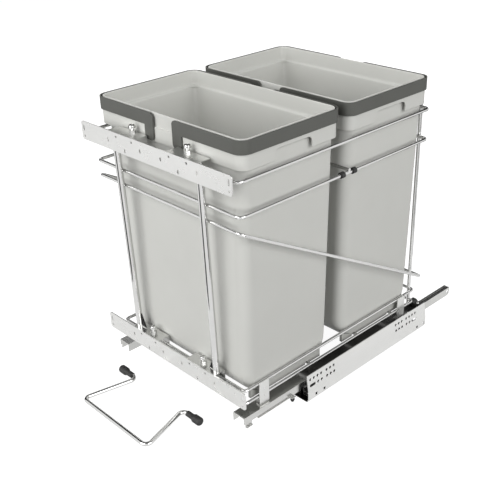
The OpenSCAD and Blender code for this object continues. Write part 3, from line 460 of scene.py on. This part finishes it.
# Pivot pegs of the handles: distance along the peg and radius
PEG_R, PEG_X, PEG_TIP, PEG_RISE, PEG_STEPS = 3.0, 36.0, 4.6, 1, 24
PEG_PROFILE = ((-1.5, PEG_R), (PEG_TIP - 0.8, PEG_R), (PEG_TIP - 0.25, PEG_R - 0.25), (PEG_TIP, PEG_R - 0.8))


def peg(centre, out):
    """A moulded pivot peg with a rounded tip, on a long side of a bin."""
    x, y, z = centre
    return stitch([[(x + out * r * c, y + out * along, z + r * s) for c, s in circle(PEG_STEPS)]
                   for along, r in PEG_PROFILE])


# Standing edges under the short sides: WEB_BITE is how far they reach into the foot, and the gaps over the
# cross wires have upright sides GAP_SIDE wide and end GAP_ROOF above the bin's base
WEB_X, WEB_T, WEB_DROP, WEB_BITE = 162.5, 5.5, 6.7, 1.5
WEB_Y = (91.0, 85, 78, 70, 63, 30)
WIRE_Y, WIRE_GAP, GAP_SIDE, GAP_ROOF = 55.0, 4.4, 0.2, 0.4


def web(side, middle, base):
    """A standing edge under a short side of a bin, with gaps for the two cross wires below it."""
    gaps = [s * WIRE_Y + t * (WIRE_GAP + u) for s in (-1, 1) for t in (-1, 1) for u in (0, GAP_SIDE)]
    rings = []
    for y in sorted(gaps + [s * v for s in (-1, 1) for v in WEB_Y] + [0.0]):
        over = max(abs(y) - (BOTTOM_D / 2 - FOOT_R), 0)
        top = base + WEB_BITE + FOOT_R - math.sqrt(FOOT_R ** 2 - over ** 2)
        in_gap = abs(abs(y) - WIRE_Y) < WIRE_GAP + GAP_SIDE / 2
        low = base + GAP_ROOF if in_gap else base - WEB_DROP
        section = ((WEB_X, low), (WEB_X, top), (WEB_X - WEB_T, top), (WEB_X - WEB_T, low))
        rings.append([(side * x, middle + y, z) for x, z in section])
    return stitch(rings if side < 0 else rings[::-1])


def build_bin(which):
    """The shell of a bin with its pegs and standing edges, placed on its CAD node."""
    node = f"{which}_bin"
    low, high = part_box(node)
    middle = (low.y + high.y) / 2 / MM
    base = low.z / MM
    parts = [stitch([[(x, y + middle, z) for x, y, z in ring] for ring in bin_rings(base)])]
    pivot = base + BIN_H - RIM_H + PEG_RISE
    for s in (-1, 1):
        parts.append(web(s, middle, base))
        for out in (-1, 1):
            parts.append(peg((s * PEG_X, middle + out * (BIN_D / 2 - REBATE), pivot), out))
    make(f"{which}_bin_shell", *join(*parts), "bin_plastic", f"{which}_bin_body", node)


for which in ("front", "rear"):
    build_bin(which)


# Adjuster screws: turned shape with thread grooves, a flanged round head and a driver socket. SOLID_H and
# SOLID_HEAD_R are the height over the holder and the head's radius of the solids that they stand for

SCREW_X, SCREW_H, SCREW_TAIL, SCREW_STEPS = 72.0, 14.0, 7.8, 32
SOLID_H, SOLID_HEAD_R = 17.5, 5.5
THREAD_R, CORE_R, THREAD_PITCH, THREAD_START, THREAD_REST = 3.0, 2.62, 1.0, 0.7, 1.2
THREAD_TURN = ((CORE_R, 0), (THREAD_R, 0.4), (THREAD_R, 0.5), (CORE_R, 0.9))
HEAD_H = 5.2
FLANGE = ((CORE_R, 0), (6.2, 0), (6.7, 0.4), (6.7, 1.1), (6.3, 1.5))
DOME = ((5.7, 1.6), (5.6, 3.4), (5.1, 4.3), (4.2, 4.9), (3.2, HEAD_H))
SOCKET = ((2.5, HEAD_H), (2.25, 4.9), (2.1, 2.8), (0.8, 2.5))


def turned(centre, profile):
    """A turned piece round a vertical line, from radius and height pairs."""
    x, y, z = centre
    return stitch([[(x + r * c, y + r * s, z + h) for c, s in circle(SCREW_STEPS)] for r, h in profile])


def screw_profile():
    """Radius and height pairs of a screw, from its tail over the thread to its head."""
    shank = SCREW_H - HEAD_H
    profile = [(CORE_R - 0.5, -SCREW_TAIL), (CORE_R, -SCREW_TAIL + 0.5)]
    for i in range(int((shank + SCREW_TAIL - THREAD_REST) / THREAD_PITCH)):
        foot = -SCREW_TAIL + THREAD_START + i * THREAD_PITCH
        profile += [(r, foot + h) for r, h in THREAD_TURN]
    return profile + [(r, shank + h) for r, h in FLANGE + DOME + SOCKET]


screw_low, screw_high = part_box("adjuster_screws")
seats = ((screw_high.y / MM - SOLID_HEAD_R, holder_top / MM),
         (screw_low.y / MM + SOLID_HEAD_R, screw_high.z / MM - SOLID_H))
screws = [turned((side * SCREW_X, y, z), screw_profile()) for side in (-1, 1) for y, z in seats]
make("adjuster_screw_set", *join(*screws), "fastener_steel", "frame", "adjuster_screws")


# Studio: pale floor, white surroundings, soft lamps and grey cards that only metal reflects

FLOOR_HALF, FLOOR_Z = 6, -0.0004
CEILING_HALF, CEILING_Z, CEILING_LEVEL = 4, 3.6, 0.2
SEEN_MATTE, SEEN_GLOW = 0.25, 0.93
MIRROR_MATTE, MIRROR_GLOW = 0.3, 0.62
FLOOR_PLAIN = 0.12
WORLD_SEEN, WORLD_SOFT = 1.0, 0.22
LAMP_AIM, LAMP_DISTANCE = Vector((0, -0.05, 0.3)), 3.2
WEDGE_NEAR, WEDGE_FAR, WEDGE_Z = 0.62, 3.0, 0.0002


def plane(name, corners):
    """A stage sheet with four corners."""
    mesh = bpy.data.meshes.new(name)
    mesh.from_pydata(corners, [], [(0, 1, 2, 3)])
    obj = bpy.data.objects.new(name, mesh)
    scene.collection.objects.link(obj)
    return obj


def square(half, z):
    return [(-half, -half, z), (half, -half, z), (half, half, z), (-half, half, z)]


def emission(tree, level):
    node = tree.nodes.new("ShaderNodeEmission")
    node.inputs["Strength"].default_value = level
    return node.outputs[0]


def glowing(tree, grey, level):
    """A matte grey that also gives off light of its own."""
    matte = tree.nodes.new("ShaderNodeBsdfDiffuse")
    matte.inputs["Color"].default_value = (grey, grey, grey, 1)
    both = tree.nodes.new("ShaderNodeAddShader")
    link(tree, matte.outputs[0], both.inputs[0])
    link(tree, emission(tree, level), both.inputs[1])
    return both.outputs[0]


def background(tree, level):
    node = tree.nodes.new("ShaderNodeBackground")
    node.inputs["Color"].default_value = (1, 1, 1, 1)
    node.inputs["Strength"].default_value = level
    return node.outputs[0]


def picked(tree, factor, others, chosen):
    """The chosen shader where the factor is 1, the other one where it is 0."""
    node = tree.nodes.new("ShaderNodeMixShader")
    link(tree, factor, node.inputs[0])
    link(tree, others, node.inputs[1])
    link(tree, chosen, node.inputs[2])
    return node.outputs[0]


def either(tree, first, second):
    node = tree.nodes.new("ShaderNodeMath")
    node.operation = "MAXIMUM"
    link(tree, first, node.inputs[0])
    link(tree, second, node.inputs[1])
    return node.outputs[0]


floor = plane("floor", square(FLOOR_HALF, FLOOR_Z))
floor_mat = bpy.data.materials.new("floor")
floor_mat.use_nodes = True
tree = floor_mat.node_tree
tree.nodes.clear()
ray = tree.nodes.new("ShaderNodeLightPath").outputs
plain = tree.nodes.new("ShaderNodeBsdfDiffuse")
plain.inputs["Color"].default_value = (FLOOR_PLAIN, FLOOR_PLAIN, FLOOR_PLAIN, 1)
direct = either(tree, ray["Is Camera Ray"], ray["Is Transmission Ray"])
seen = picked(tree, direct, plain.outputs[0], glowing(tree, SEEN_MATTE, SEEN_GLOW))
seen = picked(tree, ray["Is Glossy Ray"], seen, glowing(tree, MIRROR_MATTE, MIRROR_GLOW))
link(tree, seen, tree.nodes.new("ShaderNodeOutputMaterial").inputs[0])
floor.data.materials.append(floor_mat)

world = bpy.data.worlds.new("studio")
scene.world = world
world.use_nodes = True
tree = world.node_tree
tree.nodes.clear()
ray = tree.nodes.new("ShaderNodeLightPath").outputs
direct = either(tree, either(tree, ray["Is Camera Ray"], ray["Is Glossy Ray"]), ray["Is Transmission Ray"])
seen = picked(tree, direct, background(tree, WORLD_SOFT), background(tree, WORLD_SEEN))
link(tree, seen, tree.nodes.new("ShaderNodeOutputWorld").inputs[0])


def lamp(name, azimuth, elevation, size, watts):
    """A square softbox that looks at the middle of the part."""
    way = bearing(azimuth, elevation)
    data = bpy.data.lights.new(name, "AREA")
    data.shape = "SQUARE"
    data.size = size
    data.energy = watts
    obj = bpy.data.objects.new(name, data)
    scene.collection.objects.link(obj)
    turn = way.to_track_quat("Z", "Y").to_matrix().to_4x4()
    obj.matrix_world = Matrix.Translation(LAMP_AIM + way * LAMP_DISTANCE) @ turn
    return obj


lamp("front", azimuth=-10, elevation=23, size=3.2, watts=103)
lamp("side", azimuth=90, elevation=22, size=2.6, watts=76)
fill_back = lamp("back", azimuth=205, elevation=32, size=2.6, watts=40)
fill_left = lamp("left", azimuth=-100, elevation=30, size=2.6, watts=32)
fill_back.visible_glossy = False
fill_left.visible_glossy = False


def reflected(obj, level):
    """Paints a stage sheet and leaves it to reflections alone."""
    mat = bpy.data.materials.new(obj.name)
    mat.use_nodes = True
    sheet = mat.node_tree
    sheet.nodes.clear()
    link(sheet, emission(sheet, level), sheet.nodes.new("ShaderNodeOutputMaterial").inputs[0])
    obj.data.materials.append(mat)
    obj.visible_camera = False
    obj.visible_diffuse = False
    obj.visible_shadow = False
    obj.visible_transmission = False


def card(name, azimuth, distance, width, low, high, level):
    """An upright grey card beside the part."""
    middle, across = bearing(azimuth) * distance, bearing(azimuth + 90) * (width / 2)
    bottom, top = Vector((0, 0, low)), Vector((0, 0, high))
    first, last = middle - across, middle + across
    reflected(plane(name, [first + bottom, last + bottom, last + top, first + top]), level)


def wedge(name, first, last, level):
    """A grey sheet on the floor, between two bearings."""
    lift = Vector((0, 0, WEDGE_Z))
    ends = ((first, WEDGE_NEAR), (first, WEDGE_FAR), (last, WEDGE_FAR), (last, WEDGE_NEAR))
    reflected(plane(name, [bearing(azimuth) * distance + lift for azimuth, distance in ends]), level)


card("card_back", azimuth=198, distance=2.0, width=5.2, low=1.6, high=3.55, level=0.02)
card("card_low_back", azimuth=198, distance=2.0, width=2.0, low=0.5, high=1.6, level=0.04)
card("card_low", azimuth=227, distance=2.3, width=1.4, low=0.4, high=1.6, level=0.7)
card("card_left", azimuth=-80, distance=2.0, width=1.6, low=0.0, high=2.8, level=0.02)
wedge("wedge_left", first=-125, last=-75, level=0.06)
wedge("wedge_front", first=-22, last=12, level=0.12)
wedge("wedge_right", first=80, last=108, level=0.08)
wedge("wedge_rear", first=152, last=180, level=0.08)
wedge("wedge_behind", first=190, last=262, level=0.1)
reflected(plane("ceiling", square(CEILING_HALF, CEILING_Z)), CEILING_LEVEL)

scene.view_settings.view_transform = "Standard"
